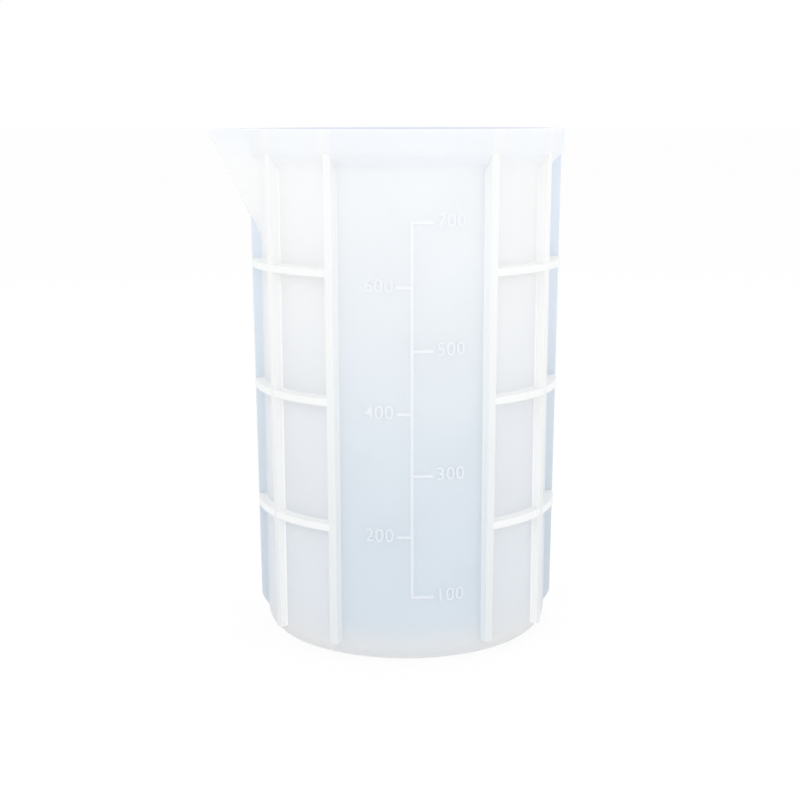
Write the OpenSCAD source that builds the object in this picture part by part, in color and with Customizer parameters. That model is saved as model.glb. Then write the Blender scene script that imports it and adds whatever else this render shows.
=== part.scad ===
// Soft translucent silicone mixing and measuring cup with a long V-shaped
// pouring spout, a gripping grid of ribs and belts on each side, and a raised
// volume scale on the blank front panel.
// Millimetres. The origin is where the cup's axis meets the table, +Z is up,
// the scale looks towards -Y and the spout towards -X. Bearings are counted
// in degrees from the scale, positive towards +X.

/* [Cup] */
// Height from the table to the rim
cup_h = 154; // [150:1:165]
// Outer radius of the wall at the table, before its corner is rounded
wall_r_base = 43.6; // [42:0.1:46]
// Outer radius of the wall at the height of the rim
wall_r_top = 44.1; // [43:0.1:47]
// Thickness of the wall
wall_t = 1.85; // [1.5:0.05:2.5]
// Thickness of the floor
floor_t = 2.1; // [1.8:0.1:3]
// Radius of the rounded corner under the cup
heel_r = 5; // [3.5:0.5:6]
// Radius of the rounded corner inside, between floor and wall
cove_r = 3; // [2:0.5:4]

/* [Rim] */
// Height of the thick collar's upright face
rim_h = 7; // [5:0.5:9]
// Drop of the collar's sloped underside below that face
rim_slope_h = 3.6; // [2.5:0.1:5]
// Amount by which the collar stands proud of the ribs that run into it
rim_proud = 0.1; // [0.05:0.05:0.5]
// Extra radius that the collar gains up to its top edge
rim_flare = 0.45; // [0.1:0.05:0.8]
// Radius of the collar's outer and inner top edges
rim_round = 0.9; // [0.4:0.1:1.2]

/* [Spout] */
// Reach of the spout's keel beyond the wall, at the height of the rim
spout_out = 16.1; // [12:0.1:20]
// Depth below the rim at which the keel runs out into the wall
spout_drop = 32.5; // [28:0.5:36]
// Angle between the spout's two sides, seen from above
spout_angle = 82; // [70:1:90]
// Thickness of the spout's sides
spout_t = 2; // [1.6:0.1:2.6]
// Outer radius of the rounded keel
keel_r = 3; // [2.8:0.1:4]
// Length trimmed off the tip to leave its small upright nose
spout_nose = 0.7; // [0.3:0.1:1.5]

/* [Grip] */
// Bearing of the first rib, and the step from each rib to the next
rib_angle = 30; // [27:1:32]
// Width of each rib
rib_w = 2.3; // [1.8:0.1:3]
// Depth of the ribs and belts at the table
rib_d_base = 2.2; // [1.6:0.1:3]
// Depth of the ribs and belts at the height of the rim
rib_d_top = 3.45; // [2.8:0.05:4]
// Height of the ribs' lower ends
rib_z = 5; // [4:0.5:8]
// Height of each belt
belt_h = 2.2; // [1.6:0.1:3]
// Height of the lowest belt's middle above the table
belt_low_z = 40.2; // [34:0.2:46]
// Drop of the highest belt's middle below the rim
belt_top_drop = 39.9; // [38:0.1:44]

/* [Scale] */
// Height by which the marks stand out of the wall
mark_t = 0.45; // [0.3:0.05:0.8]
// Width of the upright scale line
line_w = 0.8; // [0.5:0.1:1.2]
// Height of each tick
tick_h = 0.8; // [0.5:0.1:1.2]
// Length of the ticks right of the line
tick_right = 6; // [4:0.5:10]
// Length of the ticks left of the line
tick_left = 4.2; // [3:0.1:9]
// Drop of the highest tick's middle below the rim
tick_top_drop = 25.6; // [22:0.1:34]

/* [Hidden] */
$fn = 128;
over = 1;
tick_count = 7;
rib_count = 5;
belt_count = 3;
rim_z = cup_h - rim_h;
rim_under_z = rim_z - rim_slope_h;
keel_tilt = atan(spout_out / spout_drop);
keel_x = wall_r_top + spout_out;
keel_len = spout_drop / cos(keel_tilt);
side_half = atan(tan(spout_angle / 2) / cos(keel_tilt));
trough_len = wall_r_top;
trough_run_out = spout_out;
round_steps = 10;
belt_step = (cup_h - belt_top_drop - belt_low_z) / (belt_count - 1);
// The ticks share the depth from the floor to the highest one. At the real
// size a step is 18 mm, which holds 100 millilitres in a bore of 42 mm radius.
tick_step = (cup_h - tick_top_drop - floor_t) / tick_count;

// Radius of the wall's outside, inside and middle, depth of the grip grid and
// radius over its ribs, all at height z, and the height of tick n.
function wall_r(z) = wall_r_base + (wall_r_top - wall_r_base) * z / cup_h;
function bore_r(z) = wall_r(z) - wall_t;
function mid_wall_r(z) = (wall_r(z) + bore_r(z)) / 2;
function rib_d(z) = rib_d_base + (rib_d_top - rib_d_base) * z / cup_h;
function rib_r(z) = wall_r(z) + rib_d(z);
function tick_z(n) = floor_t + n * tick_step;

// Rounding of the corner b between the points a and c: half of its angle, the
// point on the side towards a where an arc of radius r touches, the arc's
// centre, and the points along the arc.
function unit(v) = v / norm(v);
function turned(v, angle) = [v.x * cos(angle) - v.y * sin(angle), v.x * sin(angle) + v.y * cos(angle)];
function half_angle(a, b, c) = acos(unit(a - b) * unit(c - b)) / 2;
function touch(a, b, c, r) = b + unit(a - b) * r / tan(half_angle(a, b, c));
function centre(a, b, c, r) = b + unit(unit(a - b) + unit(c - b)) * r / sin(half_angle(a, b, c));
function corner(a, b, c, r) = r == 0 ? [b] :
    let (middle = centre(a, b, c, r), first = touch(a, b, c, r) - middle, last = touch(c, b, a, r) - middle)
    [for (i = [0 : round_steps]) middle + turned(first, atan2(cross(first, last), first * last) * i / round_steps)];

// Polygon whose outward corners are rounded, each by its own radius.
module rounded(p, radii) {
    n = len(p);
    polygon([for (i = [0 : n - 1]) each corner(p[(i + n - 1) % n], p[i], p[(i + 1) % n], radii[i])]);
}

// Half profiles of the cup, with the radius along X and the height along Y.
module outer_profile() {
    rounded([[0, 0], [wall_r(0), 0], [wall_r(rim_under_z), rim_under_z], [0, rim_under_z]],
        [0, heel_r, 0, 0]);
}

module bore_profile() {
    top = cup_h + over;
    rounded([[0, floor_t], [bore_r(floor_t), floor_t], [bore_r(top), top], [0, top]],
        [0, cove_r, 0, 0]);
}

module collar_profile() {
    rounded([[bore_r(rim_under_z), rim_under_z],
        [wall_r(rim_under_z), rim_under_z],
        [rib_r(rim_z) + rim_proud, rim_z],
        [rib_r(cup_h) + rim_flare, cup_h],
        [bore_r(cup_h), cup_h]],
        [0, 0, rim_round, rim_round, rim_round]);
}

// The cup as if it were solid, without spout or grip. What stands on it is cut
// by it, so the pieces meet face to face.
module cup_body() {
    rotate_extrude() {
        outer_profile();
        collar_profile();
        polygon([[0, rim_under_z], [wall_r(rim_under_z), rim_under_z],
            [wall_r(cup_h + over), cup_h + over], [0, cup_h + over]]);
    }
}

// V-shaped section of the spout with its rounded edge at the left. The edge's
// middle stays keel_r from the keel, so a smaller r gives the trough inside.
module keel_section(r) {
    apex = [keel_r - r / sin(side_half), 0];
    run = [cos(side_half), sin(side_half)] * (trough_len + r / tan(side_half));
    rounded([apex, apex + [run.x, -run.y], apex + run], [r, 0, 0]);
}

// The section drawn out along the sloping keel, from below it to above the rim.
module keel_prism(r) {
    translate([-keel_x, 0, cup_h])
        rotate([0, -keel_tilt, 0])
            translate([0, 0, -keel_len - trough_run_out])
                linear_extrude(keel_len + 2 * trough_run_out)
                    keel_section(r);
}

module base() {
    color("#dde4ea")
        rotate_extrude()
            intersection() {
                outer_profile();
                square([wall_r_base + over, floor_t]);
            }
}

module wall() {
    color("#dce7f1")
        difference() {
            rotate_extrude()
                difference() {
                    outer_profile();
                    bore_profile();
                    square([wall_r_base + over, floor_t]);
                }
            keel_prism(keel_r - spout_t);
        }
}

module rim_band() {
    color("#f2f5f9")
        difference() {
            rotate_extrude()
                collar_profile();
            keel_prism(keel_r - spout_t);
        }
}

module pour_spout() {
    tip = keel_x - spout_nose;
    color("#f7f9fb")
        difference() {
            intersection() {
                keel_prism(keel_r);
                translate([-tip, -tip, 0])
                    cube([tip, 2 * tip, cup_h]);
            }
            keel_prism(keel_r - spout_t);
            cup_body();
        }
}

// Upright rib at a bearing, from its lower end into the collar.
module rib_blank(bearing) {
    rotate([0, 0, bearing - 90])
        rotate([90, 0, 0])
            linear_extrude(rib_w, center = true)
                polygon([[bore_r(rib_z), rib_z], [rib_r(rib_z), rib_z],
                    [rib_r(rim_z), rim_z], [bore_r(rim_z), rim_z]]);
}

module rib(bearing) {
    color("#f4f4f0")
        difference() {
            rib_blank(bearing);
            cup_body();
            keel_prism(keel_r);
        }
}

// Belt across one side's ribs. The ribs pass through it, so it fills only the
// four spaces between them.
module belt(side, k) {
    z = belt_low_z + (k - 1) * belt_step - belt_h / 2;
    color("#f3f2ec")
        difference() {
            rotate([0, 0, side * 90 - 90 - (rib_count - 1) / 2 * rib_angle])
                rotate_extrude(angle = (rib_count - 1) * rib_angle)
                    polygon([[mid_wall_r(z), z], [rib_r(z), z],
                        [rib_r(z + belt_h), z + belt_h], [mid_wall_r(z + belt_h), z + belt_h]]);
            cup_body();
            for (i = [1 : rib_count])
                rib_blank(side * i * rib_angle);
            keel_prism(keel_r);
        }
}

// Raised strip of the scale that starts at bearing a0 and ends at a1, from
// height z0 up to z1.
module mark(a0, a1, z0, z1) {
    color("#eef3f8")
        rotate([0, 0, a0 - 90])
            rotate_extrude(angle = a1 - a0)
                polygon([[wall_r(z0), z0], [wall_r(z0) + mark_t, z0],
                    [wall_r(z1) + mark_t, z1], [wall_r(z1), z1]]);
}

function arc(length) = length / wall_r(cup_h / 2) * 180 / PI;

module scale_line() {
    mark(-arc(line_w / 2), arc(line_w / 2), tick_z(1) - tick_h / 2, tick_z(tick_count) + tick_h / 2);
}

// Tick n of the scale: the odd ones lie right of the line, the even ones left.
module tick(n) {
    z = tick_z(n) - tick_h / 2;
    if (n % 2 == 1)
        mark(arc(line_w / 2), arc(line_w / 2 + tick_right), z, z + tick_h);
    else
        mark(-arc(line_w / 2 + tick_left), -arc(line_w / 2), z, z + tick_h);
}

base();
wall();
rim_band();
pour_spout();
rib(-rib_angle);  // rib_left_1
rib(-2 * rib_angle);  // rib_left_2
rib(-3 * rib_angle);  // rib_left_3
rib(-4 * rib_angle);  // rib_left_4
rib(-5 * rib_angle);  // rib_left_5
rib(rib_angle);  // rib_right_1
rib(2 * rib_angle);  // rib_right_2
rib(3 * rib_angle);  // rib_right_3
rib(4 * rib_angle);  // rib_right_4
rib(5 * rib_angle);  // rib_right_5
belt(-1, 1);  // belt_left_low
belt(-1, 2);  // belt_left_mid
belt(-1, 3);  // belt_left_top
belt(1, 1);  // belt_right_low
belt(1, 2);  // belt_right_mid
belt(1, 3);  // belt_right_top
scale_line();
tick(1);  // tick_100
tick(2);  // tick_200
tick(3);  // tick_300
tick(4);  // tick_400
tick(5);  // tick_500
tick(6);  // tick_600
tick(7);  // tick_700
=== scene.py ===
"""Looks of the resin mixing cup: a soft, milky moulding with a V-shaped spout,
a grip grid of ribs and belts on each side and a raised volume scale in front.

All sizes are in metres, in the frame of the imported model. The cup's axis is Z,
the table is z = 0, the scale looks towards -Y and the spout towards -X.
Bearings are counted from the scale, positive towards +X.
"""

import logging
import math
from dataclasses import dataclass
from enum import Enum
from functools import reduce

import bmesh
import bpy
import numpy as np
from mathutils import Matrix, Vector


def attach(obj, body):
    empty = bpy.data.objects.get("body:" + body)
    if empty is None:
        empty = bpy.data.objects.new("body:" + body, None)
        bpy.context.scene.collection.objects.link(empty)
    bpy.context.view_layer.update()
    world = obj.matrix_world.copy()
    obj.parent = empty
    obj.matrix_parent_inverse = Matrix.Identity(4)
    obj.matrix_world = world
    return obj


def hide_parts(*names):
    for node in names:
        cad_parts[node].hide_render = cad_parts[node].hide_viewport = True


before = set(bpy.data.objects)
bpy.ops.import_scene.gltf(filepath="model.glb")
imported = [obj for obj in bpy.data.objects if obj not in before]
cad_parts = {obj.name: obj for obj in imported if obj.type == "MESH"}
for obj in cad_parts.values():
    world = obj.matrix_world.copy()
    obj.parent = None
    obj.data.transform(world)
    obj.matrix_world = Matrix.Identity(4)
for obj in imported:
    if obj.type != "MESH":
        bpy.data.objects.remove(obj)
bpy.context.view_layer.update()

MM = 0.001
TIPPED = (math.pi / 2, 0.0, 0.0)
WELD = 0.002 * MM
CORNER_STEPS, EDGE_STEPS, FLARE_STEPS = 9, 6, 5
ROOT = "root"
LOG = logging.getLogger("mixing_cup")
Triple = tuple[float, float, float]
Colour = Triple
Span = tuple[float, float]
Number = float | np.ndarray
Piece = bpy.types.Object
Mesh = bpy.types.Mesh
Material = bpy.types.Material


def smooth_step(low: float, high: float, values: np.ndarray) -> np.ndarray:
    """Eases from 0 at low to 1 at high."""
    share = np.clip((values - low) / (high - low), 0.0, 1.0)
    return share * share * (3.0 - 2.0 * share)


def quarter_turn(steps: int) -> list[Span]:
    """Points of a rounded edge of radius 1: sine and one less cosine of each turn."""
    turns = [math.radians(90.0 * step / steps) for step in range(steps + 1)]
    return [(math.sin(turn), 1.0 - math.cos(turn)) for turn in turns]


def write_numbers(mesh: Mesh, numbers: dict[str, np.ndarray]) -> None:
    """Writes named numbers on the points of a mesh.

    Args:
        mesh: the mesh.
        numbers: one number for each point, by name.
    """
    for name, values in numbers.items():
        layer = mesh.attributes.new(name, "FLOAT", "POINT")
        layer.data.foreach_set("value", values.astype(np.float32))


def put_in_scene(name: str, data: bpy.types.ID) -> Piece:
    """Makes an object and links it to the scene.

    Args:
        name: the object's name.
        data: its mesh, lamp or camera.

    Returns:
        The object.
    """
    thing = bpy.data.objects.new(name, data)
    bpy.context.scene.collection.objects.link(thing)
    return thing


# ---- node helpers


class Wire:
    """An output of a node, which can be reckoned with like a plain number."""

    def __init__(self, sheet: "NodeSheet", socket: bpy.types.NodeSocket) -> None:
        """Keeps the output's sheet and socket."""
        self.sheet, self.socket = sheet, socket

    def same(self, other: "Value", margin: float = 0.5) -> "Wire":
        """Gives 1 where this number is the other one, give or take the margin."""
        return self.op("COMPARE", other, margin)

    def op(self, operation: str, *others: "Value") -> "Wire":
        """Adds a Math node that takes this number first."""
        inputs = dict(enumerate((self, *others)))
        return self.sheet.made("ShaderNodeMath", inputs, operation=operation)

    def __add__(self, other: "Value") -> "Wire":
        """Adds."""
        return self.op("ADD", other)

    def __sub__(self, other: "Value") -> "Wire":
        """Subtracts."""
        return self.op("SUBTRACT", other)

    def __rsub__(self, other: float) -> "Wire":
        """Subtracts from a plain number."""
        return self.sheet.made("ShaderNodeMath", {0: other, 1: self}, operation="SUBTRACT")

    def __mul__(self, other: "Value") -> "Wire":
        """Multiplies."""
        return self.op("MULTIPLY", other)

    def __truediv__(self, other: "Value") -> "Wire":
        """Divides."""
        return self.op("DIVIDE", other)

    def __lt__(self, other: "Value") -> "Wire":
        """Gives 1 where this number is the smaller one."""
        return self.op("LESS_THAN", other)

    def __gt__(self, other: "Value") -> "Wire":
        """Gives 1 where this number is the larger one."""
        return self.op("GREATER_THAN", other)

    def ranged(
        self,
        start: "Value",
        end: "Value",
        low: "Value" = 0.0,
        high: "Value" = 1.0,
        ease: str = "LINEAR",
    ) -> "Wire":
        """Maps the number to a new range and holds it inside.

        Args:
            start: where the result is low.
            end: where the result is high.
            low: result at the start.
            high: result at the end.
            ease: how the result goes from one to the other.

        Returns:
            The result.
        """
        names = ("Value", "From Min", "From Max", "To Min", "To Max")
        inputs = dict(zip(names, (self, start, end, low, high)))
        return self.sheet.made("ShaderNodeMapRange", inputs, interpolation_type=ease)


Value = float | Wire
Paint = Colour | Wire


class NodeSheet:
    """A node tree with short ways to add nodes and to join them."""

    def __init__(self, tree: bpy.types.NodeTree) -> None:
        """Keeps the tree that is to be filled."""
        self.tree = tree

    def feed(self, socket: bpy.types.NodeSocket, value: object) -> None:
        """Joins an input to a wire, or sets its plain value.

        Args:
            socket: input to feed.
            value: wire or plain value.
        """
        if isinstance(value, Wire):
            self.tree.links.new(value.socket, socket)
        else:
            socket.default_value = value

    def made(
        self,
        kind: str,
        inputs: dict[str | int, object],
        output: str | int = 0,
        **settings: object,
    ) -> Wire:
        """Adds a node and feeds its inputs.

        Args:
            kind: type name of the node.
            inputs: what goes into each input, by name or place.
            output: name or place of the output that is wanted.
            settings: properties to set on the node.

        Returns:
            The wanted output.
        """
        node = self.tree.nodes.new(kind)
        for name, value in settings.items():
            setattr(node, name, value)
        for name, value in inputs.items():
            self.feed(node.inputs[name], value)
        return Wire(self, node.outputs[output])

    def shown(self, kind: str, surface: Wire) -> None:
        """Ends the tree with an output node for a surface."""
        self.feed(self.tree.nodes.new(kind).inputs["Surface"], surface)

    def parts(self, vector: Wire) -> tuple[Wire, ...]:
        """Splits a vector into its x, y and z."""
        return tuple(self.made("ShaderNodeSeparateXYZ", {0: vector}, axis) for axis in "XYZ")

    def attribute(self, name: str) -> Wire:
        """Reads a named number of the mesh."""
        return self.made("ShaderNodeAttribute", {}, "Fac", attribute_name=name)

    def mix(self, share: Value, first: Paint, second: Paint) -> Wire:
        """Mixes two colours by a share, 0 for the first and 1 for the second."""
        pair = [one if isinstance(one, Wire) else (*one, 1.0) for one in (first, second)]
        # a colour mix takes its colours at places 6 and 7
        return self.made("ShaderNodeMix", {0: share, 6: pair[0], 7: pair[1]}, 2, data_type="RGBA")

    def noise(self, place: Wire, scale: float, detail: float) -> Wire:
        """Adds a noise of a scale, in waves to the metre."""
        inputs = {"Vector": place, "Scale": scale, "Detail": detail}
        return self.made("ShaderNodeTexNoise", inputs)


def open_sheet(holder: Material | bpy.types.World) -> NodeSheet:
    """Empties the nodes of a material or a world.

    Args:
        holder: the material or the world.

    Returns:
        A sheet for its new nodes.
    """
    holder.use_nodes = True
    holder.node_tree.nodes.clear()
    return NodeSheet(holder.node_tree)


class FormTree(NodeSheet):
    """Geometry Nodes tree with named sizes, which turns a seed mesh into a form."""

    def __init__(self, name: str) -> None:
        """Starts an empty tree.

        Args:
            name: name of the tree.
        """
        super().__init__(bpy.data.node_groups.new(name, "GeometryNodeTree"))
        face = self.tree.interface
        face.new_socket("Seed", in_out="INPUT", socket_type="NodeSocketGeometry")
        face.new_socket("Form", in_out="OUTPUT", socket_type="NodeSocketGeometry")
        self.entry = self.tree.nodes.new("NodeGroupInput")
        self.exit = self.tree.nodes.new("NodeGroupOutput")
        self.seed = Wire(self, self.entry.outputs["Seed"])
        self.values: dict[str, float] = {}

    def size(self, name: str, value: float) -> Wire:
        """Adds a named number to the tree's inputs.

        Args:
            name: the input's name.
            value: the number that the modifier gives it.

        Returns:
            The number inside the tree.
        """
        kind = "NodeSocketInt" if isinstance(value, int) else "NodeSocketFloat"
        item = self.tree.interface.new_socket(name, in_out="INPUT", socket_type=kind)
        self.values[item.identifier] = value
        return Wire(self, self.entry.outputs[name])

    def attribute(self, name: str) -> Wire:
        """Reads a named number of the mesh."""
        kind = "GeometryNodeInputNamedAttribute"
        return self.made(kind, {"Name": name}, "Attribute", data_type="FLOAT")

    def store(self, shape: Wire, name: str, value: Value) -> Wire:
        """Writes a named number on the points of a shape."""
        inputs = {"Geometry": shape, "Name": name, "Value": value}
        return self.made("GeometryNodeStoreNamedAttribute", inputs, data_type="FLOAT")

    def place(self) -> tuple[Wire, ...]:
        """Gives the points' x, y and z."""
        return self.parts(self.made("GeometryNodeInputPosition", {}))

    def vector(self, x: Value, y: Value, z: Value) -> Wire:
        """Joins three numbers to a vector."""
        return self.made("ShaderNodeCombineXYZ", {"X": x, "Y": y, "Z": z})

    def moved(self, shape: Wire, position: Wire) -> Wire:
        """Puts the points of a shape at new places."""
        return self.made("GeometryNodeSetPosition", {"Geometry": shape, "Position": position})

    def on_cup(self, bearing: Wire, radius: Wire, height: Value) -> Wire:
        """Gives the point at a bearing, a radius and a height."""
        ahead = radius * -1.0 * bearing.op("COSINE")
        return self.vector(radius * bearing.op("SINE"), ahead, height)

    def copies(self, shape: Wire, count: Value, names: dict[str, Value]) -> Wire:
        """Repeats a shape, each copy with numbers of its own.

        Args:
            shape: what is repeated.
            count: how many copies.
            names: attributes that tell the copies apart, with their values.

        Returns:
            The realised copies.
        """
        points = self.made("GeometryNodePoints", {"Count": count})
        for name, value in names.items():
            points = self.store(points, name, value)
        many = {"Points": points, "Instance": shape}
        placed = self.made("GeometryNodeInstanceOnPoints", many)
        return self.made("GeometryNodeRealizeInstances", {0: placed})

    def finish(self, shape: Wire, material: Material) -> None:
        """Closes seams, realises, sets the material and joins the tree's output.

        Args:
            shape: the finished shape.
            material: what it is made of.
        """
        for kind, inputs in (
            ("GeometryNodeMergeByDistance", {"Distance": WELD}),
            ("GeometryNodeRealizeInstances", {}),
            ("GeometryNodeSetShadeSmooth", {}),
            ("GeometryNodeSetMaterial", {"Material": material}),
        ):
            shape = self.made(kind, {"Geometry": shape, **inputs})
        self.feed(self.exit.inputs["Form"], shape)

    def grow(self, name: str, seed: Mesh) -> Piece:
        """Runs the tree on a seed mesh and keeps the result as a plain mesh.

        Args:
            name: name of the new piece.
            seed: the mesh that the tree starts from.

        Returns:
            The piece, without modifiers.
        """
        piece = put_in_scene(name, seed)
        modifier = piece.modifiers.new("form", "NODES")
        modifier.node_group = self.tree
        for identifier, value in self.values.items():
            modifier[identifier] = value
        graph = bpy.context.evaluated_depsgraph_get()
        mesh = bpy.data.meshes.new_from_object(piece.evaluated_get(graph), depsgraph=graph)
        mesh.name = name
        piece.modifiers.remove(modifier)
        piece.data = mesh
        bpy.data.meshes.remove(seed)
        return piece


# ---- the cup's sizes


@dataclass(frozen=True)
class CupSizes:
    """Sizes that several of the cup's pieces share."""

    height: float = 154.0 * MM
    wall_base: float = 43.6 * MM
    wall_top: float = 44.1 * MM
    wall_thick: float = 1.85 * MM
    floor: float = 2.1 * MM
    collar_low: float = 147.0 * MM
    collar_under: float = 143.4 * MM
    spout_reach: float = 16.1 * MM
    spout_drop: float = 32.5 * MM
    depth_base: float = 2.2 * MM
    depth_top: float = 3.45 * MM
    ribs: int = 5
    rib_step: float = math.radians(30.0)
    rib_low: float = 5.0 * MM
    belts: int = 3
    belt_low: float = 40.2 * MM
    belt_step: float = 36.95 * MM

    def wall(self, z: Number) -> Number:
        """Outer radius of the wall at a height."""
        return self.wall_base + (self.wall_top - self.wall_base) * z / self.height

    def bore(self, z: float) -> float:
        """Inner radius of the wall at a height."""
        return self.wall(z) - self.wall_thick

    def grip(self, z: float) -> float:
        """Radius over the ribs at a height."""
        gain = (self.depth_top - self.depth_base) * z / self.height
        return self.wall(z) + self.depth_base + gain


SIZES = CupSizes()


# ---- finishes


@dataclass(frozen=True, kw_only=True)
class Silicone:
    """Milky silicone, whose colour falls from the rim to the table as painted shade.

    A noise is given by its waves to the metre and its detail, and waves and
    grain of the surface by their depth after these.
    """

    name: str
    thin: Colour
    # colour at the table, darker than at the rim as painted shade
    thin_shaded_low: Colour
    milkiness: float = 0.05
    refraction: float = 1.41
    roughness: float = 0.5
    rough_range: float = 0.05
    rough_noise: Span = (165.0, 2.0)
    cloud_share: float = 0.02
    cloud_noise: Span = (55.0, 3.0)
    relief_strength: float = 0.5
    waves: Triple = (70.0, 1.0, 0.06 * MM)
    grain: Triple = (900.0, 2.0, 0.02 * MM)
    cup: CupSizes = SIZES

    def material(self) -> Material:
        """Builds the finish: a satin surface mixed with a translucent one.

        Returns:
            The material.
        """
        material = bpy.data.materials.new(self.name)
        sheet = open_sheet(material)
        place = sheet.made("ShaderNodeTexCoord", {}, "Object")
        skin = {"Color": self.colour(sheet, place), "Normal": self.relief(sheet, place)}
        gloss = {"Roughness": self.satin(sheet, place), "IOR": self.refraction}
        satin = {"Base Color": skin["Color"], "Normal": skin["Normal"], **gloss}
        surface = sheet.made("ShaderNodeBsdfPrincipled", satin)
        milk = sheet.made("ShaderNodeBsdfTranslucent", skin)
        blend = sheet.made("ShaderNodeMixShader", {0: self.milkiness, 1: surface, 2: milk})
        sheet.shown("ShaderNodeOutputMaterial", blend)
        return material

    def by_height(self, sheet: NodeSheet, place: Wire, high: Colour, low: Colour) -> Wire:
        """Goes from one colour at the rim to another at the table: the darker lower colour is
        painted shade.
        """
        # painted shade: the colour darkens from the rim to the table
        fall = sheet.parts(place)[2].ranged(self.cup.height, 0.0, ease="SMOOTHERSTEP")
        return sheet.mix(fall, high, low)

    def body(self, sheet: NodeSheet, place: Wire) -> Wire:
        """Colour of the silicone itself, darker towards the table as painted shade."""
        return self.by_height(sheet, place, self.thin, self.thin_shaded_low)

    def tints(self, sheet: NodeSheet, place: Wire) -> dict[str, Paint]:
        """Tones that lie over the body where attributes of the mesh say so."""
        return {}

    def colour(self, sheet: NodeSheet, place: Wire) -> Wire:
        """Gives the body soft clouds and lays its tints over it.

        Args:
            sheet: the material's nodes.
            place: object coordinates.

        Returns:
            The colour.
        """
        cloud = sheet.noise(place, *self.cloud_noise)
        level = cloud.ranged(0.0, 1.0, 1.0 - 2.0 * self.cloud_share, 1.0)
        clouded = {0: self.body(sheet, place), "Scale": level}
        tone = sheet.made("ShaderNodeVectorMath", clouded, operation="SCALE")
        for name, tint in self.tints(sheet, place).items():
            tone = sheet.mix(sheet.attribute(name), tone, tint)
        return tone

    def satin(self, sheet: NodeSheet, place: Wire) -> Wire:
        """Roughness that changes a little from place to place."""
        low, high = self.roughness - self.rough_range, self.roughness + self.rough_range
        return sheet.noise(place, *self.rough_noise).ranged(0.0, 1.0, low, high)

    def relief(self, sheet: NodeSheet, place: Wire) -> Wire:
        """Makes slow waves of a soft wall, with the fine grain of its mould on them.

        Args:
            sheet: the material's nodes.
            place: object coordinates.

        Returns:
            The normal.
        """
        normal = {}
        for *noise, depth in (self.waves, self.grain):
            height = sheet.noise(place, *noise)
            inputs = {"Strength": self.relief_strength, "Distance": depth, "Height": height}
            normal = {"Normal": sheet.made("ShaderNodeBump", {**inputs, **normal})}
        return normal["Normal"]


@dataclass(frozen=True, kw_only=True)
class StoutSilicone(Silicone):
    """Silicone with a second colour where an attribute of the mesh says so: the shell's thick
    places, and on the ribs the fins' flanks.
    """

    thick: Colour
    # second colour at the table, darker as painted shade
    thick_shaded_low: Colour
    guide: str = "stout"

    def stoutness(self, sheet: NodeSheet, place: Wire) -> Wire:
        """Gives the share of the second colour, read from the guiding attribute."""
        return sheet.attribute(self.guide)

    def body(self, sheet: NodeSheet, place: Wire) -> Wire:
        """Mixes the thin and the thick colour."""
        thick = self.by_height(sheet, place, self.thick, self.thick_shaded_low)
        return sheet.mix(self.stoutness(sheet, place), super().body(sheet, place), thick)


@dataclass(frozen=True, kw_only=True)
class ShellSilicone(StoutSilicone):
    """Silicone of the shell, which is also thick where ribs and belts stand on it, and paler
    beside them as painted light over their contact shade.
    """

    # the pale tone reaches past each bar's edge: beside the bar it is painted light over the
    # bar's contact shade
    bar_reach: float = 2.6 * MM
    bar_fade: float = 2.2 * MM
    wall_radius: float = 43.8 * MM
    panel_margin: float = 0.06
    foot: Colour = (0.905, 0.905, 0.905)
    # painted light: lifts the shade on the edge the cup stands on
    sole_light: Colour = (0.995, 0.995, 0.995)
    # painted shade: a darker blue band inside, just under the rim
    lip: Colour = (0.77, 0.80, 0.875)

    def tints(self, sheet: NodeSheet, place: Wire) -> dict[str, Paint]:
        """Adds the warmer foot, painted light on the edge it stands on and a blue line of painted
        shade inside the lip.
        """
        return {"foot": self.foot, "sole_light": self.sole_light, "lip": self.lip}

    def near_bar(self, away: Wire) -> Wire:
        """Fades from 1 under a bar's middle to 0 beside the bar."""
        outer, inner = self.bar_reach + self.bar_fade, self.bar_reach - self.bar_fade
        return away.ranged(outer, inner, ease="SMOOTHSTEP")

    def from_nearest(self, value: Wire, step: float) -> Wire:
        """Distance of a value from the nearest multiple of a step."""
        return (value - (value + step / 2).op("SNAP", step)).op("ABSOLUTE")

    def stoutness(self, sheet: NodeSheet, place: Wire) -> Wire:
        """Adds the places under the ribs and belts, where the silicone is thick, and beside them,
        where the pale tone is painted light over their contact shade, to the mesh's own
        thickness.

        Args:
            sheet: the material's nodes.
            place: object coordinates.

        Returns:
            The share of the thick colour.
        """
        cup = self.cup
        reach = (cup.ribs - 1) / 2
        x, y, z = sheet.parts(place)
        bearing = x.op("ARCTAN2", y * -1.0).op("ABSOLUTE")
        side = (bearing - math.pi / 2).op("ABSOLUTE")
        rib = self.near_bar(self.from_nearest(bearing, cup.rib_step) * self.wall_radius)
        belt = self.near_bar(self.from_nearest(z - cup.belt_low, cup.belt_step))
        belt *= side < reach * cup.rib_step
        belt *= z < cup.belt_low + (cup.belts - 0.5) * cup.belt_step
        grid = rib.op("MAXIMUM", belt) * (z > cup.rib_low)
        grid *= side < (reach + self.panel_margin) * cup.rib_step
        return super().stoutness(sheet, place).op("MAXIMUM", grid)


@dataclass(frozen=True, kw_only=True)
class RibSilicone(StoutSilicone):
    """Silicone of the ribs: painted light on the flanks, and the panel's tone painted on the
    flanks beside the plain panel, for the light that comes through the rib.
    """

    # painted light on the ribs' flanks
    lit: Colour = (0.998, 0.998, 0.995)
    # the panel's tone, painted on the flanks beside the plain panel for the light through the
    # rib; darker at the table as painted shade
    pane: Colour = (0.965, 0.98, 0.985)
    pane_shaded_low: Colour = (0.85, 0.885, 0.915)

    def tints(self, sheet: NodeSheet, place: Wire) -> dict[str, Paint]:
        """Adds the flanks' painted light and the panel's tone painted on the flanks beside the
        plain panel.
        """
        pane = self.by_height(sheet, place, self.pane, self.pane_shaded_low)
        return {"lit": self.lit, "pane": pane}


# The lower colour of each finish is painted shade: darker towards the table.
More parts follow.
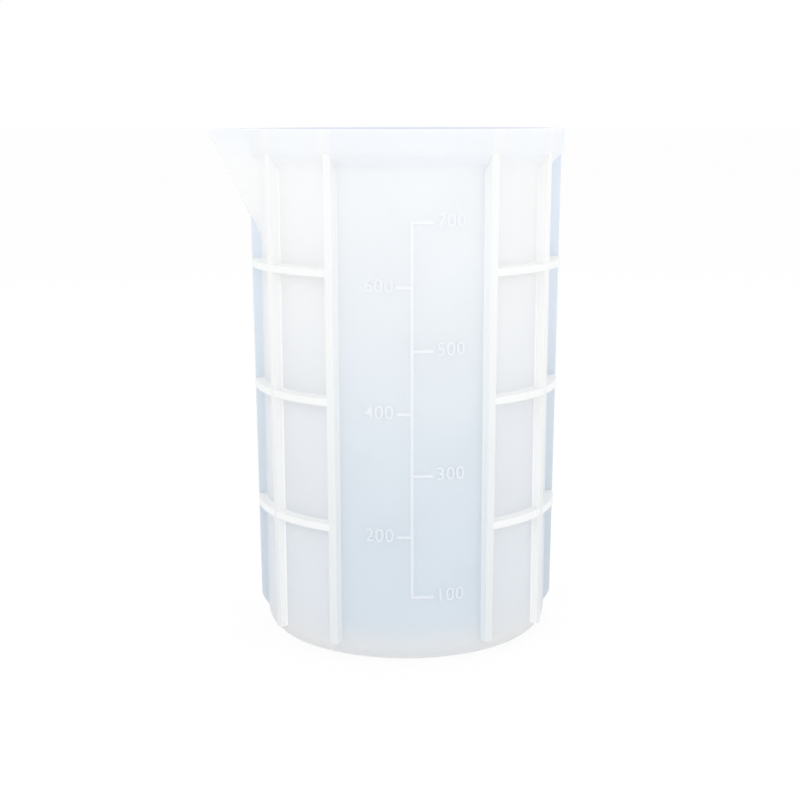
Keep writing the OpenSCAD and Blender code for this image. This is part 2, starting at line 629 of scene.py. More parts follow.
SHELL = ShellSilicone(
    name="silicone_shell",
    thin=(0.972, 0.987, 1.0),
    thin_shaded_low=(0.845, 0.90, 0.945),
    thick=(1.0, 1.0, 1.0),
    thick_shaded_low=(0.912, 0.93, 0.955),
    milkiness=0.4,
    roughness=0.45,
)
RIB = RibSilicone(
    name="silicone_rib",
    thin=(0.965, 0.975, 0.97),
    thin_shaded_low=(0.82, 0.85, 0.86),
    # on the ribs the thick colours are not for thickness: they give the fins' flanks a darker,
    # bluer tone
    thick=(0.825, 0.895, 0.975),
    thick_shaded_low=(0.70, 0.77, 0.835),
    guide="outermost",
)
BELT = Silicone(
    name="silicone_belt", thin=(0.968, 0.978, 0.972), thin_shaded_low=(0.925, 0.937, 0.937)
)
MARK = Silicone(name="silicone_mark", thin=(0.945, 0.97, 0.995), thin_shaded_low=(0.795, 0.84, 0.895))
DIGIT = Silicone(name="silicone_digit", thin=(0.94, 0.96, 0.985), thin_shaded_low=(0.79, 0.84, 0.895))


# ---- the shell


@dataclass
class Row:
    """One ring of the shell's mesh, before the spout is drawn out of it."""

    radius: float
    height: float
    inside: float = 0.0
    inset: float = 0.0


@dataclass
class CupShell:
    """Floor, wall, collar and spout, which the mould gives as one skin.

    The eases are pairs of millimetres: a ring's height over the collar's
    underside or over its face's lower edge, and how far it leaves the corner.
    Zones and columns are degrees from the keel. The fades are where a tone of
    the skin starts and where it is full, the panel's in degrees from the side.
    """

    sizes: CupSizes = SIZES
    heel: float = 5.6 * MM
    cove: float = 3.6 * MM
    lip: float = 0.9 * MM
    collar_proud: float = 0.1 * MM
    collar_flare: float = 0.45 * MM
    under_eases: tuple[Span, ...] = (
        (-0.35, 0.10), (0.2, 0.10), (0.9, 0.0), (1.7, 0.0), (2.5, 0.0), (3.0, -0.06)
    )
    face_eases: tuple[Span, ...] = ((-0.25, -0.33), (0.15, -0.16), (0.6, -0.03), (1.2, 0.0))
    face_start: float = 2.0 * MM
    face_rings: int = 6
    spout_half: float = math.radians(41.0)
    spout_thick: float = 2.0 * MM
    spout_margin: float = 6.0 * MM
    spout_span: float = math.radians(38.0)
    keel: float = 3.0 * MM
    nose: float = 0.7 * MM
    nose_blend: float = 0.5 * MM
    nose_ahead: float = 0.7
    tip_rounding: float = 0.65
    tip_bearings: Span = (math.radians(3.5), math.radians(0.8))
    web: float = 1.6 * MM
    fine_from: float = 112.0 * MM
    fine_step: float = 0.8 * MM
    coarse_step: float = 6.0 * MM
    foot_gap: float = 0.3 * MM
    web_gap: float = 0.9 * MM
    lip_gap: float = 0.4 * MM
    floor_shares: tuple[float, ...] = (0.0, 0.25, 0.6, 0.9, 0.985)
    keel_zone: float = 4.0
    keel_column: float = 0.4
    spout_zone: float = 34.0
    spout_column: float = 0.65
    far_columns: int = 74
    panel_fade: Span = (61.5, 59.0)
    spout_fade: Span = (0.5 * MM, 4.0 * MM)
    foot_fade: Span = (14.0 * MM, 0.5 * MM)
    # fades of the sole's painted light and of the lip's painted shade
    sole_fade: Span = (2.4 * MM, 0.2 * MM)
    lip_shade_fade: Span = (1.8 * MM, 0.7 * MM)
    panel_share: float = 0.9
    solid_share: float = 0.3
    finish: Silicone = SHELL

    def heights(self, low: float, high: float) -> list[float]:
        """Heights of rings on a straight wall, close together where the spout is.

        Args:
            low: where the wall starts.
            high: where it ends.

        Returns:
            The heights, from low to high, both included.
        """
        middle = self.fine_from
        coarse = np.linspace(low, middle, round((middle - low) / self.coarse_step) + 1)
        fine = np.linspace(middle, high, round((high - middle) / self.fine_step) + 1)
        return [*coarse, *fine[1:]]

    def lip_rings(self) -> list[Span]:
        """Heights and insets of the rings that round an edge of the rim."""
        start, lip = self.sizes.height - self.lip, self.lip
        return [(start + lip * up, lip * inset) for up, inset in quarter_turn(EDGE_STEPS)]

    def collar(self, height: float) -> float:
        """Radius of the collar's face at a height.

        Args:
            height: where it is wanted.

        Returns:
            The radius.
        """
        cup = self.sizes
        face = cup.grip(cup.collar_low) + self.collar_proud
        top = cup.grip(cup.height) + self.collar_flare
        return face + (top - face) * (height - cup.collar_low) / (cup.height - cup.collar_low)

    def outer_rows(self) -> list[Row]:
        """Makes the rings of the outside.

        Returns:
            The rings, from the middle of the foot to the rim.
        """
        cup = self.sizes
        foot = cup.wall(self.heel) - self.heel
        rows = [Row(foot * share, 0.0) for share in (*self.floor_shares, 1.0)]
        for out, up in quarter_turn(CORNER_STEPS)[1:]:
            rows.append(Row(foot + self.heel * out, self.heel * up))
        straight = self.heights(self.heel + self.foot_gap, cup.collar_under - self.web_gap)
        rows += [Row(cup.wall(z), z) for z in straight]
        under = cup.wall(cup.collar_under)
        slope = (self.collar(cup.collar_low) - under) / (cup.collar_low - cup.collar_under)
        for z, ease in self.under_eases:
            radius = under + (max(z, 0.0) * slope + ease) * MM
            rows.append(Row(radius, cup.collar_under + z * MM))
        for z, ease in self.face_eases:
            radius = self.collar(cup.collar_low + max(z, 0.0) * MM) + ease * MM
            rows.append(Row(radius, cup.collar_low + z * MM))
        start, end = cup.collar_low + self.face_start, cup.height - self.lip
        rows += [Row(self.collar(z), z) for z in np.linspace(start, end, self.face_rings)]
        return rows + [Row(self.collar(z), z, 0.0, inset) for z, inset in self.lip_rings()[1:]]

    def inner_rows(self) -> list[Row]:
        """Makes the rings of the inside.

        Returns:
            The rings, from the rim down to the middle of the floor.
        """
        cup = self.sizes
        rows = [Row(cup.bore(z), z, 1.0, inset) for z, inset in reversed(self.lip_rings())]
        low = cup.floor + self.cove
        straight = self.heights(low + self.foot_gap, cup.height - self.lip - self.lip_gap)
        rows += [Row(cup.bore(z), z, 1.0) for z in reversed(straight)]
        middle = cup.bore(low) - self.cove
        for out, up in reversed(quarter_turn(CORNER_STEPS)):
            rows.append(Row(middle + self.cove * out, cup.floor + self.cove * up, 1.0))
        return rows + [Row(middle * share, cup.floor, 1.0) for share in self.floor_shares[::-1]]

    def bearings(self) -> np.ndarray:
        """Spaces the mesh's columns, closest together at the spout's keel.

        Returns:
            Their bearings from the keel, in degrees.
        """
        near = np.arange(0.0, self.keel_zone, self.keel_column)
        side = np.arange(self.keel_zone, self.spout_zone, self.spout_column)
        far = np.linspace(self.spout_zone, 180.0, self.far_columns)
        half = np.concatenate([near, side, far])
        whole = np.concatenate([-half[::-1][:-1], half[1:], [0.0]])
        return np.unique(np.round(whole, 6))[1:]

    def seed(self) -> Mesh:
        """Makes the cup without spout, as a grid of rings that holds its own numbers.

        Returns:
            The seed mesh.
        """
        rows = self.outer_rows() + self.inner_rows()
        away = np.radians(self.bearings())
        radius, height, inside, inset = (
            np.repeat([getattr(row, name) for row in rows], len(away))
            for name in ("radius", "height", "inside", "inset")
        )
        off = np.tile(away, len(rows))
        bearing = off - math.pi / 2
        points = np.stack([radius * np.sin(bearing), -radius * np.cos(bearing), height], axis=1)
        corner = np.arange(len(points)).reshape(len(rows), len(away))
        here, there = corner[:-1], corner[1:]
        faces = np.stack([here, np.roll(here, -1, 1), np.roll(there, -1, 1), there], axis=-1)
        mesh = bpy.data.meshes.new("shell_seed")
        mesh.from_pydata(points.tolist(), [], faces.reshape(-1, 4).tolist())
        numbers = {"away": np.abs(off), "bearing": bearing, "body": radius}
        write_numbers(mesh, {**numbers, "inside": inside, "inset": inset})
        return mesh

    def rule(self, material: Material) -> FormTree:
        """Sets the rule of the spout: two slanted sides that meet in a rounded keel.

        Args:
            material: what the shell is made of.

        Returns:
            The tree, which draws the spout out of the seed.
        """
        cup = self.sizes
        tree = FormTree("cup_shell_rule")
        rim = tree.size("Rim height", cup.height)
        reach = tree.size("Keel reach at rim", cup.wall_top + cup.spout_reach)
        slope = tree.size("Keel slope", cup.spout_reach / cup.spout_drop)
        half = tree.size("Half opening", self.spout_half)
        outer = tree.size("Outer keel radius", self.keel)
        inner = tree.size("Inner keel radius", self.keel - self.spout_thick)
        nose = tree.size("Nose reach", cup.wall_top + cup.spout_reach - self.nose)
        web = tree.size("Web", self.web)
        span = tree.size("Bearing span", self.spout_span)
        foot = tree.size("Lowest height", cup.height - cup.spout_drop - self.spout_margin)
        tip_start, tip_end = self.tip_bearings
        tip = tree.size("Tip bearing", tip_start)
        rounding = tree.size("Rounding share at tip", self.tip_rounding)

        # the keel leans, so a level cut through its round edge is an ellipse
        away, inside = tree.attribute("away"), tree.attribute("inside")
        z = tree.place()[2]
        upright = (slope * slope + 1.0).op("INVERSE_SQRT")
        side = (half.op("TANGENT") / upright).op("ARCTANGENT")
        keel = outer + inside * (inner - outer)
        long_keel = keel / upright
        middle = reach - ((rim - z) * slope + outer / upright)

        # radius of the slanted sides, and of the rounded keel between them
        apex = middle + long_keel / side.op("SINE")
        flank = apex * half.op("SINE") / (away + half - math.pi / 2).op("COSINE")
        ahead = away.op("COSINE")
        flat_x, flat_y = ahead / long_keel, away.op("SINE") / keel
        bend = flat_x * flat_x + flat_y * flat_y
        pull, gap = middle * flat_x / long_keel, middle / long_keel
        root = (pull * pull - bend * (gap * gap - 1.0)).op("MAXIMUM", 0.0).op("SQRT")
        edge_x = middle + long_keel * side.op("SINE")
        in_round = away < (keel * side.op("COSINE")).op("ARCTAN2", edge_x)
        drawn = flank + in_round * ((pull + root) / bend - flank)

        # where the spout is, it widens the cup, and its nose is cut upright
        here = (away < span) * (z > foot)
        drawn = drawn * here + (here - 1.0) * reach
        widened = tree.attribute("body").op("SMOOTH_MAX", drawn, web)
        straight = nose / ahead.op("MAXIMUM", self.nose_ahead)
        trimmed = widened.op("SMOOTH_MIN", straight, self.nose_blend)
        skin = trimmed + inside.op("MAXIMUM", 1.0 - here) * (widened - trimmed)
        narrow = away.ranged(tip, tip_end, 1.0, rounding, "SMOOTHSTEP")
        radius = skin + tree.attribute("inset") * (inside * 2.0 - 1.0) * narrow
        place = tree.on_cup(tree.attribute("bearing"), radius, z)
        tree.finish(tree.moved(tree.seed, place), material)
        return tree

    def dress(self, piece: Piece) -> None:
        """Writes where the silicone has other tones: panels and foot, the painted light at the
        sole and the painted shade inside the lip.

        Args:
            piece: the shell.
        """
        cup, mesh = self.sizes, piece.data
        points = np.empty(len(mesh.vertices) * 3)
        mesh.vertices.foreach_get("co", points)
        inside = np.empty(len(mesh.vertices))
        mesh.attributes["inside"].data.foreach_get("value", inside)
        x, y, z = points.reshape(-1, 3).T
        collar = smooth_step(cup.collar_under, cup.collar_low, z)
        spout = smooth_step(*self.spout_fade, np.hypot(x, y) - cup.wall(z))
        side = np.abs(90.0 - np.abs(np.degrees(np.arctan2(x, -y))))
        solid = self.solid_share * np.maximum(collar, spout)
        stout = smooth_step(*self.panel_fade, side) * (self.panel_share * (1.0 - collar) + solid)
        tones = {
            "stout": np.clip(stout, 0.0, 1.0),
            "foot": smooth_step(*self.foot_fade, z),
            # painted light: lifts the shaded underside edge that the cup stands on
            "sole_light": smooth_step(*self.sole_fade, z),
            # painted shade: a darker blue band inside, just under the rim
            "lip": smooth_step(*self.lip_shade_fade, cup.height - z) * inside,
        }
        write_numbers(mesh, tones)
        for name in ("away", "bearing", "body", "inside", "inset"):
            mesh.attributes.remove(mesh.attributes[name])

    def build(self) -> Piece:
        """Makes the shell and puts it in place of its four CAD nodes.

        Returns:
            The shell.
        """
        piece = self.rule(self.finish.material()).grow("cup_shell", self.seed())
        self.dress(piece)
        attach(piece, ROOT)
        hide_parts("base", "wall", "rim_band", "pour_spout")
        return piece


# ---- the grip


class Side(Enum):
    """Side of the cup, with the sign of its bearings."""

    LEFT = -1
    RIGHT = 1

    @property
    def word(self) -> str:
        """The side's name in lower case."""
        return self.name.lower()


def section(outline: list[Span], name: str) -> Mesh:
    """Makes the closed outline of a bar's section.

    Args:
        outline: points of the outline, across and outwards.
        name: the mesh's name.

    Returns:
        A mesh of edges that close a loop.
    """
    mesh = bpy.data.meshes.new(name)
    count = len(outline)
    edges = [(place, (place + 1) % count) for place in range(count)]
    mesh.from_pydata([(x, y, 0.0) for x, y in outline], edges, [])
    return mesh


def bar_outline(width: float, depth: float, root: float, flare: float, edge: float) -> list[Span]:
    """Outline of a moulded bar: flared at its root, rounded at its outer edges.

    Args:
        width: width of the bar.
        depth: how far it stands out of the wall.
        root: how far its root goes into the wall.
        flare: radius of the hollow between bar and wall.
        edge: radius of its outer edges.

    Returns:
        Points across and outwards, counter-clockwise.
    """
    half = width / 2
    right = [(half + flare, -root)]
    for inwards, out in quarter_turn(FLARE_STEPS):
        right.append((half + flare * (1.0 - inwards), flare * out))
    for out, inwards in quarter_turn(EDGE_STEPS):
        right.append((half - edge * inwards, depth - edge * (1.0 - out)))
    return right + [(-x, y) for x, y in reversed(right)]


class WallTree(FormTree):
    """Tree that makes bars flat and then lays them round the tapered wall."""

    def __init__(self, name: str, cup: CupSizes) -> None:
        """Adds the wall's own sizes to the inputs.

        Args:
            name: the tree's name.
            cup: the cup's sizes.
        """
        super().__init__(name)
        self.base = self.size("Wall radius at table", cup.wall_base)
        self.grow_out = self.size("Wall taper", (cup.wall_top - cup.wall_base) / cup.height)
        self.index = self.made("GeometryNodeInputIndex", {})

    def wall(self, z: Wire) -> Wire:
        """Radius of the wall at a height."""
        return self.base + z * self.grow_out

    def swept(self, start: Wire, end: Wire, count: int) -> Wire:
        """Sweeps the seed's outline along a straight line.

        Args:
            start: first point.
            end: last point.
            count: points along the line.

        Returns:
            A closed bar.
        """
        line = self.made("GeometryNodeCurvePrimitiveLine", {"Start": start, "End": end})
        steps = self.made("GeometryNodeResampleCurve", {"Curve": line, "Count": count})
        outline = self.made("GeometryNodeMeshToCurve", {"Mesh": self.seed})
        bar = {"Curve": steps, "Profile Curve": outline, "Fill Caps": True}
        return self.made("GeometryNodeCurveToMesh", bar)

    def upright(self, low: Value, high: Value, count: int) -> Wire:
        """Makes a bar that stands up, its section's depth outwards."""
        return self.swept(self.vector(0.0, 0.0, low), self.vector(0.0, 0.0, high), count)

    def level(self, left: Value, right: Value, count: int) -> Wire:
        """Makes a bar that lies along X, turned so that its depth is outwards."""
        bar = self.swept(self.vector(left, 0.0, 0.0), self.vector(right, 0.0, 0.0), count)
        return self.made("GeometryNodeTransform", {"Geometry": bar, "Rotation": TIPPED})

    def around(self, bars: Wire, bearing: Value, radius: Value, height: Value) -> Wire:
        """Puts flat bars on the cup and turns their faces outwards again."""
        bent = self.moved(bars, self.on_cup(bearing, radius, height))
        return self.made("GeometryNodeFlipFaces", {"Mesh": bent})


@dataclass
class GripSide:
    """Ribs and belts of one side of the cup.

    The flank's edges and the face's edge are shares of a rib's width and depth.
    """

    side: Side
    sizes: CupSizes = SIZES
    rib_width: float = 2.3 * MM
    rib_rings: int = 150
    rib_overlap: float = 1.2 * MM
    turn_margin: float = 0.01
    flank_edges: Span = (0.47, 0.499)
    face_edge: float = 0.93
    taper: float = 3.4 * MM
    taper_low: float = 0.05
    taper_power: float = 0.8
    keel_inset: float = 1.1 * MM
    belt_height: float = 2.2 * MM
    belt_rings: int = 24
    belt_overlap: float = 0.5 * MM
    root: float = 0.5 * MM
    flare: float = 0.45 * MM
    edge: float = 0.4 * MM
    rib_finish: Silicone = RIB
    belt_finish: Silicone = BELT

    def started(self, kind: str) -> tuple[WallTree, Wire, Wire]:
        """Starts a tree for this side's bars.

        Args:
            kind: what the bars are, rib or belt.

        Returns:
            The tree, the first rib's bearing and the step to the next rib.
        """
        tree = WallTree(f"{kind}_rule_{self.side.word}", self.sizes)
        step = self.side.value * self.sizes.rib_step
        return tree, tree.size("First bearing", step), tree.size("Bearing step", step)

    def laid(self, tree: WallTree, bars: Wire, ribs: bool) -> Wire:
        """Lays flat bars round the wall, deeper towards the rim.

        Args:
            tree: the tree that is built.
            bars: flat bars, x along the wall, y outwards and z up.
            ribs: whether the bars are ribs. The middle rib tapers off towards
                the foot, and on the left it ends on the spout's slanting keel.

        Returns:
            The bars on the wall.
        """
        cup = self.sizes
        at_table = cup.depth_base / cup.depth_top
        low = tree.size("Depth at table", at_table)
        gain = tree.size("Depth gain", (1.0 - at_table) / cup.height)
        x, y, z = tree.place()
        height = z + tree.attribute("rise")
        share = low + height * gain
        wall = tree.wall(height)
        if ribs:
            start = tree.size("Taper start", cup.rib_low)
            end = tree.size("Taper end", cup.rib_low + self.taper)
            full = height.ranged(start, end, self.taper_low).op("POWER", self.taper_power)
            share *= 1.0 - tree.attribute("fin") * (1.0 - full)
        radius = wall + y.op("MAXIMUM", 0.0) * share + y.op("MINIMUM", 0.0)
        if ribs:
            steepness = cup.spout_drop / cup.spout_reach
            keel = cup.wall_top + cup.spout_reach - self.keel_inset
            cut = tree.size("Keel line", cup.height - keel * steepness)
            limit = cut + radius * tree.size("Keel steepness", steepness)
            height = height.op("MINIMUM", limit + tree.attribute("free"))
        return tree.around(bars, tree.attribute("turn") + x / wall, radius, height)

    def toned(self, tree: WallTree, bar: Wire) -> Wire:
        """Marks the flanks of a flat rib and tells which way each one looks.

        Args:
            tree: the tree that is built.
            bar: the flat rib.

        Returns:
            The marked rib.
        """
        width = tree.size("Rib width", self.rib_width)
        depth = tree.size("Rib depth at rim", self.sizes.depth_top)
        x, y, _ = tree.place()
        beside = x.op("ABSOLUTE").ranged(*(width * share for share in self.flank_edges))
        bar = tree.store(bar, "flank", beside * (y < depth * self.face_edge))
        return tree.store(bar, "across", x.op("SIGN") * float(self.side.value))

    def rib_set(self) -> Piece:
        """Makes the upright ribs.

        Returns:
            The ribs as one piece.
        """
        cup = self.sizes
        tree, first, step = self.started("rib")
        low = tree.size("Lower end", cup.rib_low)
        high = tree.size("Upper end", cup.collar_low + self.rib_overlap)
        count = tree.size("Rib count", cup.ribs)
        bar = self.toned(tree, tree.upright(low, high, self.rib_rings))
        turn = first + tree.index * step
        fin = turn.op("ABSOLUTE").same(math.pi / 2, self.turn_margin)
        last = tree.index.same(count - 1.0)
        names = {
            "turn": turn,
            "rise": 0.0,
            "free": 1.0 - fin * float(self.side is Side.LEFT),
            "fin": fin,
            "facing": last - tree.index.same(0.0),
        }
        bars = tree.copies(bar, count, names)
        flank, fin = tree.attribute("flank"), tree.attribute("fin")
        toward = tree.attribute("across") * tree.attribute("facing")
        # the flanks get painted light (lit), the panel's tone where they face the plain panel
        # (pane), and on the fins a darker, bluer tone (outermost)
        for name, share in (("pane", toward > 0.5), ("lit", 1.0 - fin), ("outermost", fin)):
            bars = tree.store(bars, name, flank * share)
        tree.finish(self.laid(tree, bars, ribs=True), self.rib_finish.material())
        nodes = [f"rib_{self.side.word}_{place + 1}" for place in range(cup.ribs)]
        return self.settled(tree, "ribs", self.rib_width, nodes)

    def belt_set(self) -> Piece:
        """Makes the belts, each in the spaces between the ribs.

        Returns:
            The belts as one piece.
        """
        cup = self.sizes
        tree, first, step = self.started("belt")
        gaps = tree.size("Gaps between ribs", cup.ribs - 1)
        count = tree.size("Belt count", cup.belts)
        low = tree.size("Lowest belt", cup.belt_low)
        rise = tree.size("Belt step", cup.belt_step)
        free = cup.wall_base * cup.rib_step - self.rib_width
        reach = tree.size("Half length", free / 2 + self.belt_overlap)
        bar = tree.level(reach * -1.0, reach, self.belt_rings)
        gap, level = tree.index.op("MODULO", gaps), ((tree.index + 0.5) / gaps).op("FLOOR")
        names = {"turn": first + (gap + 0.5) * step, "rise": low + level * rise}
        bars = tree.copies(bar, gaps * count, names)
        tree.finish(self.laid(tree, bars, ribs=False), self.belt_finish.material())
        nodes = [f"belt_{self.side.word}_{level}" for level in ("low", "mid", "top")]
        return self.settled(tree, "belts", self.belt_height, nodes)

    def settled(self, tree: WallTree, name: str, width: float, nodes: list[str]) -> Piece:
        """Grows a piece and puts it in place of its CAD nodes.

        Args:
            tree: the tree that grows it.
            name: its name, without the side.
            width: width of its bars.
            nodes: names of the CAD nodes.

        Returns:
            The piece.
        """
        outline = bar_outline(width, self.sizes.depth_top, self.root, self.flare, self.edge)
        piece = tree.grow(f"{name}_{self.side.word}", section(outline, name + "_section"))
        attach(piece, ROOT)
        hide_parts(*nodes)
        return piece

    def build(self) -> list[Piece]:
        """Makes the side's two pieces."""
        return [self.rib_set(), self.belt_set()]


# ---- the scale


@dataclass
class VolumeScale:
    """Raised line, ticks and numerals of the volume scale."""

    sizes: CupSizes = SIZES
    proud: float = 0.22 * MM
    root: float = 0.3 * MM
    rounding: float = 0.1 * MM
    line_width: float = 0.8 * MM
    line_rings: int = 40
    tick_height: float = 0.8 * MM
    tick_right: float = 6.0 * MM
    tick_left: float = 4.2 * MM
    tick_rings: int = 12
    tick_start: float = 0.3
    ticks: int = 7
    top_gap: float = 25.6 * MM
    digit_height: float = 4.0 * MM
    digit_gap: float = 0.5 * MM
    digit_lift: float = 0.4 * MM
    digit_bold: float = 0.08 * MM
    digit_space: float = 1.05
    digit_curves: int = 4
    digit_weld: float = 0.003 * MM
    capital_share: float = 0.72
    finish: Silicone = MARK
    digit_finish: Silicone = DIGIT

    @property
    def tick_step(self) -> float:
        """Height between two ticks."""
        return (self.sizes.height - self.top_gap - self.sizes.floor) / self.ticks

    def tick_z(self, number: float) -> float:
        """Height of a tick's middle."""
        return self.sizes.floor + number * self.tick_step

    def marked(self, tree: WallTree, name: str, width: float) -> Piece:
        """Grows a mark of the scale from its section."""
        outline = bar_outline(width, self.proud, self.root, self.rounding, self.rounding)
        return tree.grow(name, section(outline, name + "_section"))

    def tick_set(self, material: Material) -> Piece:
        """Makes the ticks, odd hundreds on the right and even ones on the left.

        Args:
            material: what they are made of.

        Returns:
            The ticks as one piece.
        """
        tree = WallTree("tick_rule", self.sizes)
        count = tree.size("Tick count", self.ticks)
        first = tree.size("First tick", self.tick_z(1))
        step = tree.size("Tick step", self.tick_step)
        right = tree.size("Right length", self.tick_right)
        left = tree.size("Left length", self.tick_left)
        edge = tree.size("Line width", self.line_width) * self.tick_start
        bar = tree.level(0.0, 1.0, self.tick_rings)
        is_left = tree.index.op("MODULO", 2.0)
        names = {
            "rise": first + tree.index * step,
            "start": edge - is_left * (edge + edge + left),
            "length": right + is_left * (left - right),
        }
        bars = tree.copies(bar, count, names)
        x, y, z = tree.place()
        height = z + tree.attribute("rise")
        along = tree.attribute("start") + x * tree.attribute("length")
        wall = tree.wall(height)
        tree.finish(tree.around(bars, along / wall, wall + y, height), material)
        return self.marked(tree, "scale_ticks", self.tick_height)

    def line(self, material: Material) -> Piece:
        """Makes the upright line.

        Args:
            material: what it is made of.

        Returns:
            The line.
        """
        tree = WallTree("line_rule", self.sizes)
        low = tree.size("Lower end", self.tick_z(1) - self.tick_height / 2)
        high = tree.size("Upper end", self.tick_z(self.ticks) + self.tick_height / 2)
        bar = tree.upright(low, high, self.line_rings)
        x, y, z = tree.place()
        wall = tree.wall(z)
        tree.finish(tree.around(bar, x / wall, wall + y, z), material)
        return self.marked(tree, "scale_upright", self.line_width)

    def numeral(self, number: int) -> tuple[list[Vector], list[list[int]]]:
        """Bends one numeral round the wall beside its tick.

        Args:
            number: which hundred.

        Returns:
            Its points and faces.
        """
        odd = number % 2 == 1
        text = bpy.data.curves.new("numeral", "FONT")
        text.body = str(100 * number)
        text.size = self.digit_height / self.capital_share
        text.space_character = self.digit_space
        text.align_x = "LEFT" if odd else "RIGHT"
        text.align_y = "CENTER"
        text.offset = self.digit_bold
        text.extrude = (self.proud + self.root) / 2
        text.resolution_u = self.digit_curves
        carrier = bpy.data.objects.new("numeral", text)
        mesh = bpy.data.meshes.new_from_object(carrier)
        tick = self.tick_right if odd else self.tick_left
        shift = self.line_width / 2 + tick + self.digit_gap
        points = []
        for vertex in mesh.vertices:
            height = self.tick_z(number) + vertex.co.y + self.digit_lift
            wall = self.sizes.wall(height)
            turn = (vertex.co.x + (shift if odd else -shift)) / wall
            radius = wall + vertex.co.z + (self.proud - self.root) / 2
            points.append(Vector((radius * math.sin(turn), -radius * math.cos(turn), height)))
        faces = [list(polygon.vertices) for polygon in mesh.polygons]
        bpy.data.objects.remove(carrier)
        bpy.data.curves.remove(text)
        bpy.data.meshes.remove(mesh)
        return points, faces

    def numerals(self, material: Material) -> Piece:
        """Makes the seven numerals.

        Args:
            material: what they are made of.

        Returns:
            The numerals as one piece.
        """
        points: list[Vector] = []
        faces: list[list[int]] = []
        for number in range(1, self.ticks + 1):
            new_points, new_faces = self.numeral(number)
            faces += [[place + len(points) for place in face] for face in new_faces]
            points += new_points
        mesh = bpy.data.meshes.new("scale_numerals")
        mesh.from_pydata(points, [], faces)
        mesh.materials.append(material)
        weld = bmesh.new()
        weld.from_mesh(mesh)
        bmesh.ops.remove_doubles(weld, verts=weld.verts, dist=self.digit_weld)
        bmesh.ops.recalc_face_normals(weld, faces=weld.faces)
        weld.to_mesh(mesh)
        weld.free()
        return put_in_scene("scale_numerals", mesh)

    def build(self) -> list[Piece]:
        """Makes line, ticks and numerals, and puts them in place of the CAD nodes.

        Returns:
            The three pieces.
        """
        material = self.finish.material()
        line, ticks = self.line(material), self.tick_set(material)
        numerals = self.numerals(self.digit_finish.material())
        for piece in (line, ticks, numerals):
            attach(piece, ROOT)
        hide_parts("scale_line")
        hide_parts(*[f"tick_{100 * number}" for number in range(1, self.ticks + 1)])
        return [line, ticks, numerals]


# ---- the studio


@dataclass(frozen=True)
class Lamp:
    """A soft square lamp that is turned to the middle of the cup."""

    name: str
    place: Triple
    size: float
    power: float
    target: Triple = (0.0, 0.0, 0.07)

    def hang(self) -> None:
        """Hangs the lamp."""
        data = bpy.data.lights.new(self.name, "AREA")
        data.size = self.size
        data.energy = self.power
        lamp = put_in_scene(self.name, data)
        lamp.location = self.place
        aim = Vector(self.target) - Vector(self.place)
        lamp.rotation_euler = aim.to_track_quat("-Z", "Y").to_euler()


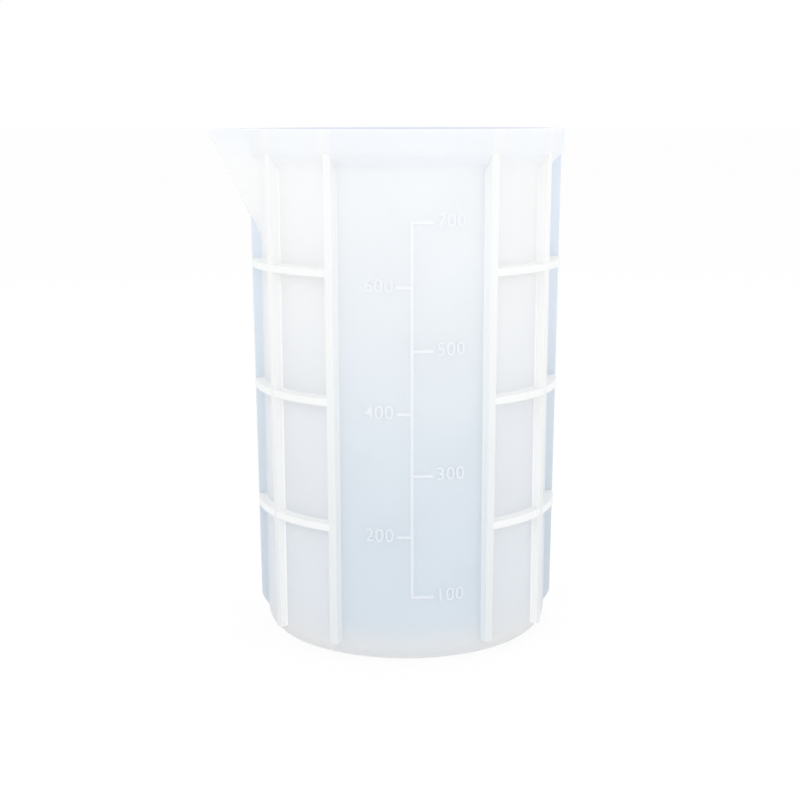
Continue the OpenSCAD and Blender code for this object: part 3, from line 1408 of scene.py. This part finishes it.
@dataclass
class Studio:
    """Floor, surroundings, lamps and camera."""

    milk_bounces: int = 8
    floor_size: float = 40.0
    floor_colour: Colour = (0.95, 0.95, 0.95)
    floor_white: float = 0.88
    room_white: float = 0.94
    seen_rays: tuple[str, ...] = ("Is Camera Ray", "Is Glossy Ray", "Is Transmission Ray")
    camera_place: Triple = (-0.01825, -0.46347, 0.15743)
    camera_heading: float = math.radians(2.0276)
    camera_fall: float = math.radians(10.6336)
    camera_roll: float = math.radians(-0.111)
    focal_pixels: float = 1510.539
    picture_pixels: float = 800.0
    clip_start: float = 0.02
    lamps: tuple[Lamp, ...] = (
        Lamp("key_lamp", (-0.55, -0.75, 0.95), 0.8, 1.9),
        Lamp("fill_lamp", (0.85, -0.45, 0.60), 0.8, 1.1),
        Lamp("top_lamp", (0.05, 0.35, 1.10), 0.9, 1.3),
    )

    def seen_directly(self, sheet: NodeSheet) -> Wire:
        """Gives 1 for rays from the camera, from gloss and through clear things."""
        rays = [sheet.made("ShaderNodeLightPath", {}, kind) for kind in self.seen_rays]
        return reduce(lambda first, second: first.op("MAXIMUM", second), rays)

    def floor(self) -> None:
        """Lays a plain pale floor, which keeps a faint shadow."""
        half = self.floor_size / 2
        corners = [(-half, -half, 0), (half, -half, 0), (half, half, 0), (-half, half, 0)]
        mesh = bpy.data.meshes.new("studio_floor")
        mesh.from_pydata(corners, [], [(0, 1, 2, 3)])
        floor = put_in_scene("studio_floor", mesh)
        material = bpy.data.materials.new("pale_floor")
        sheet = open_sheet(material)
        matt = sheet.made("ShaderNodeBsdfDiffuse", {"Color": (*self.floor_colour, 1.0)})
        white = sheet.made("ShaderNodeEmission", {})
        share = self.seen_directly(sheet) * self.floor_white
        blend = sheet.made("ShaderNodeMixShader", {0: share, 1: matt, 2: white})
        sheet.shown("ShaderNodeOutputMaterial", blend)
        material.cycles.emission_sampling = "NONE"
        mesh.materials.append(material)

    def surroundings(self) -> None:
        """Makes the room white where it is seen, and a little lower as light."""
        world = bpy.data.worlds.new("white_room")
        bpy.context.scene.world = world
        sheet = open_sheet(world)
        world.cycles.sampling_method = "NONE"
        level = self.seen_directly(sheet) * (1.0 - self.room_white) + self.room_white
        room = {"Color": (1.0, 1.0, 1.0, 1.0), "Strength": level}
        sheet.shown("ShaderNodeOutputWorld", sheet.made("ShaderNodeBackground", room))

    def camera(self) -> None:
        """Sets the camera at the photograph's viewing angle."""
        data = bpy.data.cameras.new("photo_camera")
        data.lens = self.focal_pixels / self.picture_pixels * data.sensor_width
        data.clip_start = self.clip_start
        camera = put_in_scene("photo_camera", data)
        camera.matrix_world = (
            Matrix.Translation(self.camera_place)
            @ Matrix.Rotation(-self.camera_heading, 4, "Z")
            @ Matrix.Rotation(math.pi / 2 - self.camera_fall, 4, "X")
            @ Matrix.Rotation(self.camera_roll, 4, "Z")
        )
        bpy.context.scene.camera = camera

    def build(self) -> None:
        """Sets up the whole studio."""
        bpy.context.scene.view_settings.view_transform = "Standard"
        bpy.context.scene.cycles.diffuse_bounces = self.milk_bounces
        self.floor()
        self.surroundings()
        for lamp in self.lamps:
            lamp.hang()
        self.camera()


def main() -> None:
    """Builds the cup and the studio, and reports each piece."""
    logging.basicConfig(level=logging.INFO, format="%(message)s")
    Studio().build()
    pieces = [CupShell().build()]
    for side in Side:
        pieces += GripSide(side).build()
    pieces += VolumeScale().build()
    for piece in pieces:
        faces = len(piece.data.polygons)
        corners = np.array([vertex.co for vertex in piece.data.vertices]) / MM
        low, high = corners.min(axis=0).round(2), corners.max(axis=0).round(2)
        LOG.info("%s: %d faces, from %s to %s mm", piece.name, faces, low, high)


if __name__ == "__main__":
    main()
